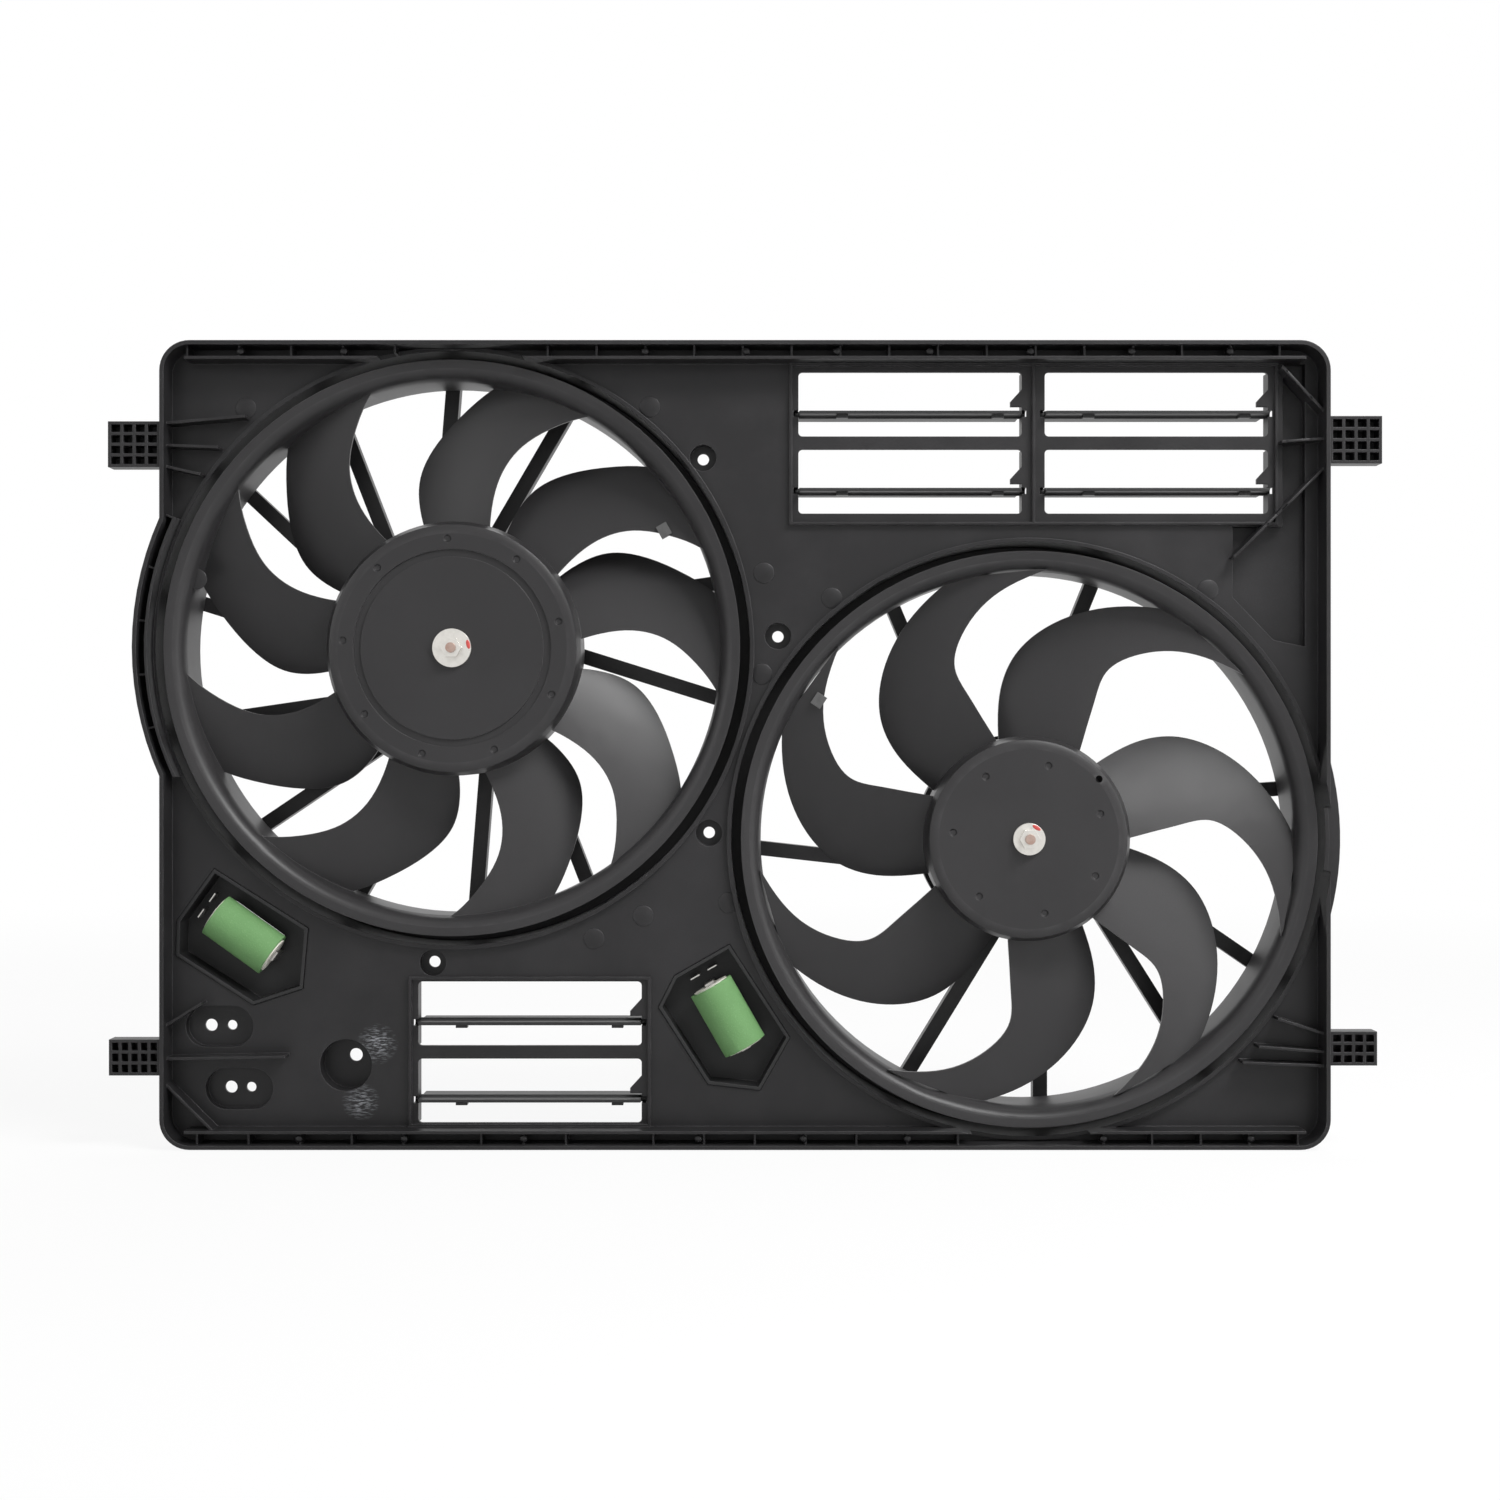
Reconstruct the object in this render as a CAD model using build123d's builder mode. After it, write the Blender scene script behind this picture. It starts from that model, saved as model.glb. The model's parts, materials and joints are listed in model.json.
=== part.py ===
from build123d import *
import os
from dataclasses import dataclass
from math import atan2, cos, degrees, radians, sin

# A twin radiator cooling fan: one moulded shroud with two motor-driven ringed fans, six ram-air flaps
# and two speed resistors. X runs right as seen from the radiator, Z runs up, and Y runs from the
# radiator towards the engine. Y = 0 is the plane of the shroud's front rim. All sizes are millimetres.

os.makedirs("parts", exist_ok=True)

# Shroud moulding
body_width = 703.0
body_height = 486.0
corner_radius = 18.0
wall = 2.5
floor_front = 22.0
floor_back = floor_front + wall
thin_rib = 1.6

# Fan places, as X and Z
left_centre = (-177.5, 58.8)
right_centre = (172.0, -57.0)

# Barrels, in which the fan rings turn
ring_outer_radius = 165.0
ring_wall = 2.5
lip_reach = 9.5
barrel_gap = 6.0
barrel_inner_radius = ring_outer_radius + lip_reach + barrel_gap
barrel_outer_radius = barrel_inner_radius + wall
collar_gap = 3.5
collar_inner_radius = ring_outer_radius + collar_gap
barrel_step = 62.0
collar_back = 75.0
barrel_lip = 4.0
bulge_margin = 7.5
bulge_outer_radius = barrel_outer_radius + bulge_margin

# Fan depths, from the front rim
fan_front = 12.0
fan_back = 58.0
hub_front = 14.0
hub_back = 56.0
hub_wall = 2.8
hub_shoulder = 8.0
hub_boss_radius = 14.0
hub_boss_back = 23.0
blade_thickness = 2.4
blade_root_sink = 1.4
blade_tip_sink = 1.2
blade_foot = 20.0
# The two sections of a blade's skin: low end, high end, depth, slope and camber, and where they stand
root_section = (-30.0, 52.0, 37.0, 0.46, 6.0)
root_inset = 18.0
tip_section = (-150.0, 56.0, 54.0, 0.30, 12.0)
tip_outset = 8.0
dimple_radius = 2.4
dimple_depth = 1.0
groove_depth = 1.5
hub_hole_radius = 2.2
clip_length = 8.0
clip_width = 7.0
clip_wall = 0.8

# Shaft, nut and bearings
shaft_radius = 4.0
stub_radius = 3.0
stub_front = 4.5
nut_flange_thickness = 2.4
nut_height = 7.0
nut_across_flats = 11.0
bearing_outer_radius = 11.0
bearing_width = 7.0
bearing_fit = 0.05
shaft_clearance = 0.3
shaft_end_gap = 0.5

# Motor
can_front = 30.0
can_back = 108.0
can_wall = 2.0
nose_radius = 14.0
nose_front = 24.4
nose_back = 116.0
magnet_thickness = 8.0
air_gap = 0.8
core_front = 50.0
core_back = 84.0
winding_length = 8.0
commutator_radius = 13.0
commutator_front = 93.0
commutator_length = 10.0
card_front = 96.0
card_thickness = 2.0
brush_gap = 0.3
brush_length = 16.0
brush_width = 7.0
brush_height = 2.5
inlet_length = 26.0
inlet_width = 18.0
inlet_depth = 11.0
inlet_wall = 2.0
inlet_margin = 16.0
ear_reach = 11.0
ear_width = 15.0
ear_thickness = 2.5
screw_radius = 2.5
screw_head_radius = 4.6
screw_head_height = 3.4

# Motor spider
spider_front = collar_back
spider_back = 87.0
spider_rim_back = 80.0
spider_rim_outer_radius = collar_inner_radius + 6.0
strut_width = 9.0
motor_ring_gap = 1.5
motor_ring_width = 12.5
screw_inset = 5.2

# Air windows and their flaps
window_width = 136.0
window_height = 39.0
window_pitch_x = 150.0
window_pitch_z = 47.0
window_corner = 2.5
pivot_drop = 5.5
pivot_depth = 29.0
pin_radius = 1.95
pin_clearance = 0.05
pin_length = 2.4
jamb_thickness = 3.0
jamb_back = 36.0
flap_end_gap = 0.6
flap_front_reach = 13.0
flap_back_reach = 25.0
flap_thickness = 1.8
flap_bar_radius = 2.5
flap_block_width = 7.0
flap_block_height = 3.0
flap_block_left = 26.0
flap_block_right = 14.0
upper_windows = (100.5, 207.5)
lower_window = (-131.0, -163.5)
frame_margin = 5.5
upper_frame_margin = 7.0
lower_frame_margin = 3.0
frame_height = 3.0

# Resistors
coil_radius = 13.8
coil_length = 42.0
core_radius = 11.0
core_proud = 0.8
core_bore_radius = 4.5
strap_width = 6.0
strap_thickness = 1.5
coil_depth = 26.0
carrier_wall = 2.0
carrier_back = 46.0
left_resistor = (-305.9, -115.8)
left_resistor_turn = -35.7
right_resistor = (-10.6, -165.4)
right_resistor_turn = -60.3

# Rails of the front rim
rail_width = 6.5
rail_wall = 1.8
rail_front = 3.0
rail_rib_front = 6.0
rail_rib = 1.2
rail_end = 14.0
rail_inside = body_height / 2 - wall - rail_width - rail_wall
bulge_channel = 4.0
bulge_keep = 150.0
bulge_half_height = 78.0
# First rib, pitch, count and side (top or bottom) of each run of cross ribs
rail_ribs = (
    (-336.2, 31.3, 5, 1),
    (-118.9, 29.4, 16, 1),
    (-330.3, 31.1, 5, -1),
    (-159.0, 25.5, 3, -1),
    (-55.3, 30.6, 7, -1),
    (216.0, 29.3, 5, -1),
)

# Stiffening ribs of the floor, by their two ends
rib_front = 8.0
floor_ribs = (
    ((-350, 194.3), (-301.7, 198.5)),
    ((-350, 181.0), (-318, 179.8)),
    ((-350, 168.3), (-328.8, 163.5)),
    ((318.5, 234.7), (350, 200.9)),
    ((318.0, 182.8), (350, 185.0)),
    ((350, 167.7), (295, 113.4)),
    ((321.5, -165.3), (350, -174.3)),
    ((310, -182.2), (350, -185.2)),
    ((300.4, -191.8), (350, -193.6)),
    ((-350, -169.5), (-328, -156)),
    ((-350, -189.4), (-277.5, -188.2)),
    ((-350, -204.5), (-321, -233.4)),
)

# Bosses, pads and the valley, as X and Z
boss_places = ((-25.6, 174.9), (20.1, 66.4), (-22.0, -53.5), (-190.1, -132.6))
boss_recess_radius = 8.0
boss_hole_radius = 3.5
boss_back = 33.0
big_boss_place = (-243.1, -194.9)
big_boss_hole = (-239.4, -190.5)
big_boss_recess_radius = 15.8
big_boss_hole_radius = 4.0
big_boss_back = 40.0
pad_places = ((-320.1, -171.3), (-308.0, -209.2))
pad_length = 41.0
pad_height = 25.0
pad_back = 32.0
pad_holes = (
    ((-326.7, -171.3), 3.75),
    ((-313.9, -171.3), 3.0),
    ((-314.5, -209.2), 3.75),
    ((-302.2, -209.2), 3.0),
)
valley_corners = ((297, 133), (297, 90), (322, 64), (341, 60), (341, 232), (327.5, 232), (327.5, 133))
valley_depth = 7.0

# Resistor pockets, with x along the resistor
pocket_corners = ((-38, 23), (30, 27), (49, -5), (30, -31), (-26, -34), (-38, -16))
pocket_gap = 0.3
carrier_front = floor_front - 1.0
carrier_flange = 2.0
vent_pitch = 8.5
vent_length = 40.0
vent_width = 5.0
terminal_place = 30.0
terminal_spread = 6.0
terminal_thickness = 0.8
terminal_width = 6.3
terminal_length = 12.0

# Stop lugs in the windows
lug_height = 12.0
lug_reach = 7.0
lug_tip = 3.0
lug_rise = 4.0

screw_length = 12.0

# Mounting tabs
tab_front = 2.0
tab_depth = 14.0
tab_floor = 2.5
tab_wall = 1.8
# Each tab's name, side, low and high place, reach and grid of pockets
tabs = (
    ("upper_left_tab", -1, 167.0, 194.5, 31.3, 4, 4),
    ("upper_right_tab", 1, 169.2, 197.7, 31.3, 4, 4),
    ("lower_left_tab", -1, -198.6, -177.0, 30.7, 5, 3),
    ("lower_right_tab", 1, -192.6, -172.2, 28.3, 4, 3),
)


def front_plane(y, centre=(0, 0)):
    """A plane square to Y at depth y: sketches on it are seen from the radiator side."""
    return Plane(origin=(centre[0], y, centre[1]), x_dir=(1, 0, 0), z_dir=(0, -1, 0))


def radial_plane(centre):
    """A plane through a fan's axis: x is the radius and y is the depth."""
    return Plane(origin=(centre[0], 0, centre[1]), x_dir=(1, 0, 0), z_dir=(0, 0, 1))


def fan_axis(centre):
    """A fan's axis, about which angles run counter-clockwise as seen from the radiator."""
    return Axis((centre[0], 0, centre[1]), (0, -1, 0))


def polar(radius, angle):
    return (radius * cos(radians(angle)), radius * sin(radians(angle)))


def direction(turn):
    """The direction that lies at an angle to X, as seen from the radiator."""
    return (cos(radians(turn)), 0, sin(radians(turn)))


def save(builder, name):
    builder.part.label = name
    export_step(builder.part, f"parts/{name}.step")


def screw_places(fan):
    """The motor screws' places round a fan's axis."""
    radius = fan.can_radius + motor_ring_gap + screw_inset
    return [polar(radius, angle) for angle in fan.ear_angles]


@dataclass
class Fan:
    side: str
    centre: tuple
    hub_radius: float
    blade_angles: tuple
    leading_edge: tuple  # radius and angle of points along the blade's leading edge
    trailing_edge: tuple
    surface_turn: float  # direction in which the blade's two sections stand square
    dimple_angles: tuple
    dimple_circle: float
    groove: tuple  # inner and outer radius of a groove in the hub's face, if it has one
    hub_hole: tuple  # radius and angle of a small hole in the hub, if it has one
    nut_flange_radius: float
    can_radius: float
    magnet_count: int
    slot_count: int
    ear_angles: tuple
    struts: tuple  # direction of each strut and its offset from the axis
    clip_place: tuple  # radius and angle of the balance clip
    inlet_angle: float


left_fan = Fan(
    side="left",
    centre=left_centre,
    hub_radius=77.5,
    blade_angles=(0, 31.5, 69.5, 117.5, 153, 195, 234, 279, 315.5),
    leading_edge=((77, 4.5), (92, 6.3), (110, 6), (128, 3), (147, -3.2), (158, -7.4), (166, -11)),
    trailing_edge=((77, 36), (92, 36), (110, 33.5), (128, 27.2), (147, 19), (158, 14.5), (166, 11)),
    surface_turn=14,
    dimple_angles=(14, 54, 92.5, 133, 176, 217, 254, 292.5, 335),
    dimple_circle=66.5,
    groove=(55.5, 60.0),
    hub_hole=(),
    nut_flange_radius=11.7,
    can_radius=60.0,
    magnet_count=4,
    slot_count=16,
    ear_angles=(30, 150, 270),
    struts=tuple((342.6 + 360 / 14 * i, 20.0) for i in range(14)),
    clip_place=(147, 29.5),
    inlet_angle=180,
)
right_fan = Fan(
    side="right",
    centre=right_centre,
    hub_radius=62.5,
    blade_angles=(0, 58.5, 107, 155.5, 207.5, 259.5, 309.5),
    leading_edge=((62, 0), (78, 3), (95, 5), (113, 5.6), (131, 0.3), (149, -9), (158, -16), (165, -22)),
    trailing_edge=((62, 45.5), (78, 42.5), (95, 39), (113, 33.6), (131, 25), (149, 13), (158, 5.5),
                   (165, -1)),
    surface_turn=16,
    dimple_angles=(19.5, 75, 124.5, 175, 229, 282, 331),
    dimple_circle=46.0,
    groove=(),
    hub_hole=(56.0, 40.5),
    nut_flange_radius=9.7,
    can_radius=50.0,
    magnet_count=4,
    slot_count=12,
    ear_angles=(90, 210, 330),
    struts=((4, 18), (68, 16), (112.7, 17), (173.6, 26), (238.5, 19), (270, 14), (302.2, 18), (325.5, 18)),
    clip_place=(152.5, 146.5),
    inlet_angle=180,
)


def blade_section(fan, radius, low, high, depth, slope, camber):
    """One cambered section of a blade, on a plane square to the blade's own direction.

    The section runs from low to high across the plane. Its depth grows by slope from the axis
    outwards, and it bulges towards the radiator by camber."""
    turn = radians(fan.surface_turn)
    outward = (cos(turn), 0, sin(turn))
    origin = (fan.centre[0] + radius * outward[0], 0, fan.centre[1] + radius * outward[2])
    start = Vector(low, -(depth + slope * low))
    end = Vector(high, -(depth + slope * high))
    chord = end - start
    normal = Vector(-chord.Y, chord.X).normalized()
    crown = (start + end) * 0.5 + normal * camber
    skin = normal * blade_thickness
    with BuildSketch(Plane(origin=origin, x_dir=(-sin(turn), 0, cos(turn)), z_dir=outward)) as section:
        with BuildLine():
            ThreePointArc(start, crown, end)
            Line(end, end - skin)
            ThreePointArc(end - skin, crown - skin, start - skin)
            Line(start - skin, start)
        make_face()
    return section.sketch


def make_blade(fan):
    """A swept blade: a twisted, cambered skin, cut to the outline that is seen along the axis."""
    root = blade_section(fan, fan.hub_radius - root_inset, *root_section)
    tip = blade_section(fan, ring_outer_radius + tip_outset, *tip_section)
    with BuildPart() as skin:
        loft(sections=[root, tip], ruled=True)
    lead = [polar(r, a) for r, a in fan.leading_edge]
    trail = [polar(r, a) for r, a in fan.trailing_edge]
    foot_radius = fan.hub_radius - blade_foot
    lead_foot = polar(foot_radius, fan.leading_edge[0][1])
    trail_foot = polar(foot_radius, fan.trailing_edge[0][1])
    with BuildPart() as blade:
        with BuildSketch(front_plane(0, fan.centre)):
            with BuildLine():
                Spline(*lead)
                Line(lead[-1], trail[-1])
                Spline(*trail)
                Polyline(trail[0], trail_foot, lead_foot, lead[0])
            make_face()
        extrude(amount=-2 * fan_back)
        add(skin.part, mode=Mode.INTERSECT)
        inner, outer = fan.hub_radius - blade_root_sink, ring_outer_radius - blade_tip_sink
        with BuildSketch(radial_plane(fan.centre)):
            with Locations(((inner + outer) / 2, (fan_front + fan_back) / 2)):
                Rectangle(outer - inner, fan_back - fan_front)
        revolve(axis=fan_axis(fan.centre), mode=Mode.INTERSECT)
    return blade.part


def make_rotor(fan):
    """The moulded fan: hub cup, swept blades and the ring with its flared lip."""
    blade = make_blade(fan)
    blades = [blade.rotate(fan_axis(fan.centre), angle) for angle in fan.blade_angles]
    hub = fan.hub_radius
    shoulder = hub - hub_shoulder
    bevel = hub_shoulder * 0.3
    with BuildPart() as rotor:
        with BuildSketch(radial_plane(fan.centre)):
            with BuildLine():
                Polyline(
                    (stub_radius, hub_front),
                    (shoulder, hub_front),
                    (hub - bevel, hub_front + bevel),
                    (hub, hub_front + hub_shoulder),
                    (hub, hub_back),
                    (hub - hub_wall, hub_back),
                    (hub - hub_wall, hub_front + hub_shoulder),
                    (shoulder, hub_front + hub_wall),
                    (hub_boss_radius, hub_front + hub_wall),
                    (hub_boss_radius, hub_boss_back),
                    (shaft_radius, hub_boss_back),
                    (shaft_radius, hub_front + hub_wall),
                    (stub_radius, hub_front + hub_wall),
                    close=True,
                )
            make_face()
        revolve(axis=fan_axis(fan.centre))
        inner = ring_outer_radius - ring_wall
        lip = ring_outer_radius + lip_reach
        with BuildSketch(radial_plane(fan.centre)):
            with BuildLine():
                Polyline(
                    (inner, fan_back),
                    (inner, fan_front + 11),
                    (inner + 2.2, fan_front + 4.4),
                    (lip - 5, fan_front + 0.7),
                    (lip, fan_front),
                    (lip, fan_front + ring_wall),
                    (lip - 5, fan_front + ring_wall + 0.7),
                    (ring_outer_radius + 1.6, fan_front + 5.6),
                    (ring_outer_radius, fan_front + 11),
                    (ring_outer_radius, fan_back),
                    close=True,
                )
            make_face()
        revolve(axis=fan_axis(fan.centre))
        for blade in blades:
            add(blade)
        with BuildSketch(front_plane(hub_front, fan.centre)):
            with Locations(*[polar(fan.dimple_circle, angle) for angle in fan.dimple_angles]):
                Circle(dimple_radius)
        extrude(amount=-dimple_depth, taper=40, mode=Mode.SUBTRACT)
        if fan.groove:
            with BuildSketch(front_plane(hub_front, fan.centre)):
                Circle(fan.groove[1])
                Circle(fan.groove[0], mode=Mode.SUBTRACT)
            extrude(amount=-groove_depth, mode=Mode.SUBTRACT)
        if fan.hub_hole:
            with BuildSketch(front_plane(hub_front, fan.centre)):
                with Locations(polar(*fan.hub_hole)):
                    Circle(hub_hole_radius)
            extrude(amount=-hub_shoulder, mode=Mode.SUBTRACT)
    save(rotor, f"{fan.side}_rotor")
    return rotor.part


def make_shaft_train(fan, rotor):
    """What turns with the fan: nut, shaft, armature, commutator and the fan's balance clip."""
    centre = fan.centre
    with BuildPart() as nut:
        with BuildSketch(front_plane(hub_front, centre)):
            Circle(fan.nut_flange_radius)
        extrude(amount=nut_flange_thickness)
        with BuildSketch(front_plane(hub_front - nut_flange_thickness, centre)):
            RegularPolygon(nut_across_flats / 2, 6, major_radius=False)
        extrude(amount=nut_height - nut_flange_thickness)
        with BuildSketch(front_plane(hub_front, centre)):
            Circle(stub_radius)
        extrude(amount=nut_height, mode=Mode.SUBTRACT)
    save(nut, f"{fan.side}_hub_nut")

    with BuildPart() as shaft:
        with BuildSketch(front_plane(stub_front, centre)):
            Circle(stub_radius)
        extrude(amount=-(hub_front + hub_wall - stub_front))
        with BuildSketch(front_plane(hub_front + hub_wall, centre)):
            Circle(shaft_radius)
        extrude(amount=-(nose_back - can_wall - shaft_end_gap - hub_front - hub_wall))
    save(shaft, f"{fan.side}_shaft")

    core_outer = fan.can_radius - can_wall - magnet_thickness - air_gap
    tooth_depth = core_outer * 0.42
    with BuildPart() as core:
        with BuildSketch(front_plane(core_front, centre)):
            Circle(core_outer)
            Circle(shaft_radius, mode=Mode.SUBTRACT)
            with PolarLocations(core_outer - tooth_depth / 2, fan.slot_count):
                Rectangle(tooth_depth + 2, core_outer * 0.16, mode=Mode.SUBTRACT)
        extrude(amount=-(core_back - core_front))
    save(core, f"{fan.side}_armature_core")

    winding_inner, winding_outer = commutator_radius + 3, core_outer - 2
    with BuildPart() as windings:
        for front in (core_front - winding_length, core_back):
            with BuildSketch(radial_plane(centre)) as turn:
                with Locations(((winding_inner + winding_outer) / 2, front + winding_length / 2)):
                    Rectangle(winding_outer - winding_inner, winding_length)
                chamfer(turn.vertices(), winding_length * 0.25)
            revolve(axis=fan_axis(centre))
    save(windings, f"{fan.side}_windings")

    with BuildPart() as commutator:
        with BuildSketch(front_plane(commutator_front, centre)):
            Circle(commutator_radius)
            Circle(shaft_radius, mode=Mode.SUBTRACT)
        extrude(amount=-commutator_length)
    save(commutator, f"{fan.side}_commutator")

    make_balance_clip(fan, rotor)


def make_balance_clip(fan, rotor):
    """A small steel clip, pushed over a blade's leading edge, that balances the fan."""
    x, z = polar(*fan.clip_place)
    place = (fan.centre[0] + x, fan.centre[1] + z)
    with BuildPart() as gripped:
        with BuildSketch(front_plane(0, place)):
            Rectangle(clip_length, clip_width, rotation=fan.clip_place[1] + 90)
        extrude(amount=-fan_back)
        add(rotor, mode=Mode.INTERSECT)
    grip = gripped.part.bounding_box()
    with BuildPart() as clip:
        with BuildSketch(front_plane(grip.min.Y - clip_wall, place)):
            Rectangle(clip_length, clip_width, rotation=fan.clip_place[1] + 90)
        extrude(amount=-(grip.size.Y + 2 * clip_wall))
        add(rotor, mode=Mode.SUBTRACT)
    save(clip, f"{fan.side}_balance_clip")


def make_motor(fan):
    """The motor that stays still: steel can, end cap, magnets, brush card, bearings and inlet."""
    centre = fan.centre
    can = fan.can_radius
    bore = can - can_wall
    seat = bearing_outer_radius + bearing_fit
    with BuildPart() as motor_can:
        with BuildSketch(radial_plane(centre)):
            with BuildLine():
                Polyline(
                    (bore, can_front),
                    (can, can_front),
                    (can, can_back - 5),
                    (can - 5, can_back),
                    (nose_radius, can_back),
                    (nose_radius, nose_back),
                    (0, nose_back),
                    (0, nose_back - can_wall),
                    (seat, nose_back - can_wall),
                    (seat, can_back - can_wall),
                    (can - 5, can_back - can_wall),
                    (bore, can_back - 6),
                    close=True,
                )
            make_face()
        revolve(axis=fan_axis(centre))
        with BuildSketch(front_plane(spider_front, centre)):
            with Locations(*[Location(polar(can + ear_reach / 2 - 2, a), a) for a in fan.ear_angles]):
                Rectangle(ear_reach + 4, ear_width)
            Circle(can - can_wall / 2, mode=Mode.SUBTRACT)
            with Locations(*screw_places(fan)):
                Circle(screw_radius, mode=Mode.SUBTRACT)
        extrude(amount=ear_thickness)
    save(motor_can, f"{fan.side}_motor_can")

    with BuildPart() as end_cap:
        with BuildSketch(radial_plane(centre)):
            with BuildLine():
                Polyline(
                    (shaft_radius + shaft_clearance, nose_front),
                    (nose_radius, nose_front),
                    (nose_radius, can_front - can_wall),
                    (can, can_front - can_wall),
                    (can, can_front),
                    (bore, can_front),
                    (bore, can_front + 3),
                    (bore - 2, can_front + 3),
                    (bore - 2, can_front),
                    (nose_radius, can_front),
                    (nose_radius, nose_front + can_wall + bearing_width),
                    (seat, nose_front + can_wall + bearing_width),
                    (seat, nose_front + can_wall),
                    (shaft_radius + shaft_clearance, nose_front + can_wall),
                    close=True,
                )
            make_face()
        revolve(axis=fan_axis(centre))
    save(end_cap, f"{fan.side}_motor_end_cap")

    with BuildPart() as magnets:
        with BuildSketch(front_plane(core_front - 6, centre)):
            Circle(bore)
            Circle(bore - magnet_thickness, mode=Mode.SUBTRACT)
            with PolarLocations(bore - magnet_thickness / 2, fan.magnet_count):
                Rectangle(magnet_thickness * 3, bore * 0.4, mode=Mode.SUBTRACT)
        extrude(amount=-(core_back - core_front + 12))
    save(magnets, f"{fan.side}_magnets")

    for name, start in (("front", nose_front + can_wall), ("rear", nose_back - can_wall - bearing_width)):
        with BuildPart() as bearing:
            with BuildSketch(front_plane(start, centre)):
                Circle(bearing_outer_radius)
                Circle(shaft_radius + pin_clearance, mode=Mode.SUBTRACT)
            extrude(amount=-bearing_width)
        save(bearing, f"{fan.side}_{name}_bearing")

    brush_inner = commutator_radius + brush_gap
    with BuildPart() as card:
        with BuildSketch(front_plane(card_front, centre)):
            Circle(bore)
            Circle(commutator_radius + 3, mode=Mode.SUBTRACT)
        extrude(amount=-card_thickness)
    save(card, f"{fan.side}_brush_card")
    with BuildPart() as brushes:
        with BuildSketch(front_plane(card_front, centre)):
            with PolarLocations(brush_inner + brush_length / 2, 2, start_angle=45):
                Rectangle(brush_length, brush_width)
        extrude(amount=brush_height)
    save(brushes, f"{fan.side}_brushes")

    with BuildPart() as inlet:
        place = Location(polar(can - inlet_margin, fan.inlet_angle), fan.inlet_angle)
        with BuildSketch(front_plane(can_back, centre)):
            with Locations(place):
                RectangleRounded(inlet_width, inlet_length, 1.5 * inlet_wall)
        extrude(amount=-inlet_depth)
        with BuildSketch(front_plane(can_back + inlet_wall, centre)):
            with Locations(place):
                RectangleRounded(inlet_width - 2 * inlet_wall, inlet_length - 2 * inlet_wall, inlet_wall)
        extrude(amount=inlet_wall - inlet_depth, mode=Mode.SUBTRACT)
    save(inlet, f"{fan.side}_motor_inlet")


def make_spider(fan):
    """The struts behind a fan, with the rim that joins the barrel and the ring that holds the motor."""
    centre = fan.centre
    inner = fan.can_radius + motor_ring_gap
    outer = inner + motor_ring_width
    with BuildPart() as spider:
        with BuildSketch(front_plane(spider_front, centre)):
            Circle(outer)
            Circle(inner, mode=Mode.SUBTRACT)
        extrude(amount=-(spider_back - spider_front))
        with BuildSketch(front_plane(spider_front, centre)):
            Circle(spider_rim_outer_radius)
            Circle(collar_inner_radius, mode=Mode.SUBTRACT)
        extrude(amount=-(spider_rim_back - spider_front))
        with BuildSketch(front_plane(spider_front, centre)) as struts:
            for direction, offset in fan.struts:
                start, end = (inner + 4) * 0.97, collar_inner_radius + 3
                middle = Vector((start + end) / 2, offset).rotate(Axis.Z, direction)
                with Locations(Location((middle.X, middle.Y), direction)):
                    Rectangle(end - start, strut_width)
            Circle(inner + 1, mode=Mode.SUBTRACT)
            Circle(spider_rim_outer_radius - 1, mode=Mode.INTERSECT)
        extrude(amount=-(spider_back - spider_front))
        with BuildSketch(front_plane(spider_front, centre)):
            with Locations(*screw_places(fan)):
                Circle(screw_radius)
        extrude(amount=ear_thickness - screw_length, mode=Mode.SUBTRACT)
    save(spider, f"{fan.side}_motor_spider")


def make_barrel(fan):
    """The deep wall round a fan ring, stepped in behind the ring to a close collar."""
    with BuildPart() as barrel:
        with BuildSketch(radial_plane(fan.centre)):
            with BuildLine():
                Polyline(
                    (barrel_inner_radius, floor_back),
                    (barrel_outer_radius, floor_back),
                    (barrel_outer_radius, barrel_step + wall),
                    (collar_inner_radius + wall, barrel_step + wall),
                    (collar_inner_radius + wall, collar_back),
                    (collar_inner_radius, collar_back),
                    (collar_inner_radius, barrel_step),
                    (barrel_inner_radius, barrel_step),
                    close=True,
                )
            make_face()
        revolve(axis=fan_axis(fan.centre))
    save(barrel, f"{fan.side}_barrel")


def outline(inset):
    """The front rim's outline: a rounded rectangle with a bulge beside the left fan."""
    with BuildSketch(front_plane(0)) as shape:
        RectangleRounded(body_width - 2 * inset, body_height - 2 * inset, corner_radius - inset)
        with Locations(left_centre):
            Circle(bulge_outer_radius - inset)
        Rectangle(2 * body_width, body_height - 2 * inset, mode=Mode.INTERSECT)
    return shape.sketch


def window_places():
    """The centre of each air window, as X and Z."""
    x, z = upper_windows
    upper = [(x + window_pitch_x * i, z - window_pitch_z * j) for j in range(2) for i in range(2)]
    x, z = lower_window
    return upper + [(x, z - window_pitch_z * j) for j in range(2)]


def bar(start, end, width):
    """A straight bar between two points of the sketch plane."""
    run = Vector(*end) - Vector(*start)
    middle = (Vector(*start) + Vector(*end)) * 0.5
    with Locations(Location((middle.X, middle.Y), degrees(atan2(run.Y, run.X)))):
        Rectangle(run.length, width)


def pocket(centre, turn, grow):
    """The outline of a resistor's pocket, grown by a margin."""
    with BuildSketch(front_plane(0, centre)) as shape:
        with BuildLine(Rotation(0, 0, turn)):
            Polyline(*pocket_corners, close=True)
        make_face()
        if grow:
            offset(amount=grow, kind=Kind.INTERSECTION)
    return shape.sketch


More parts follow.
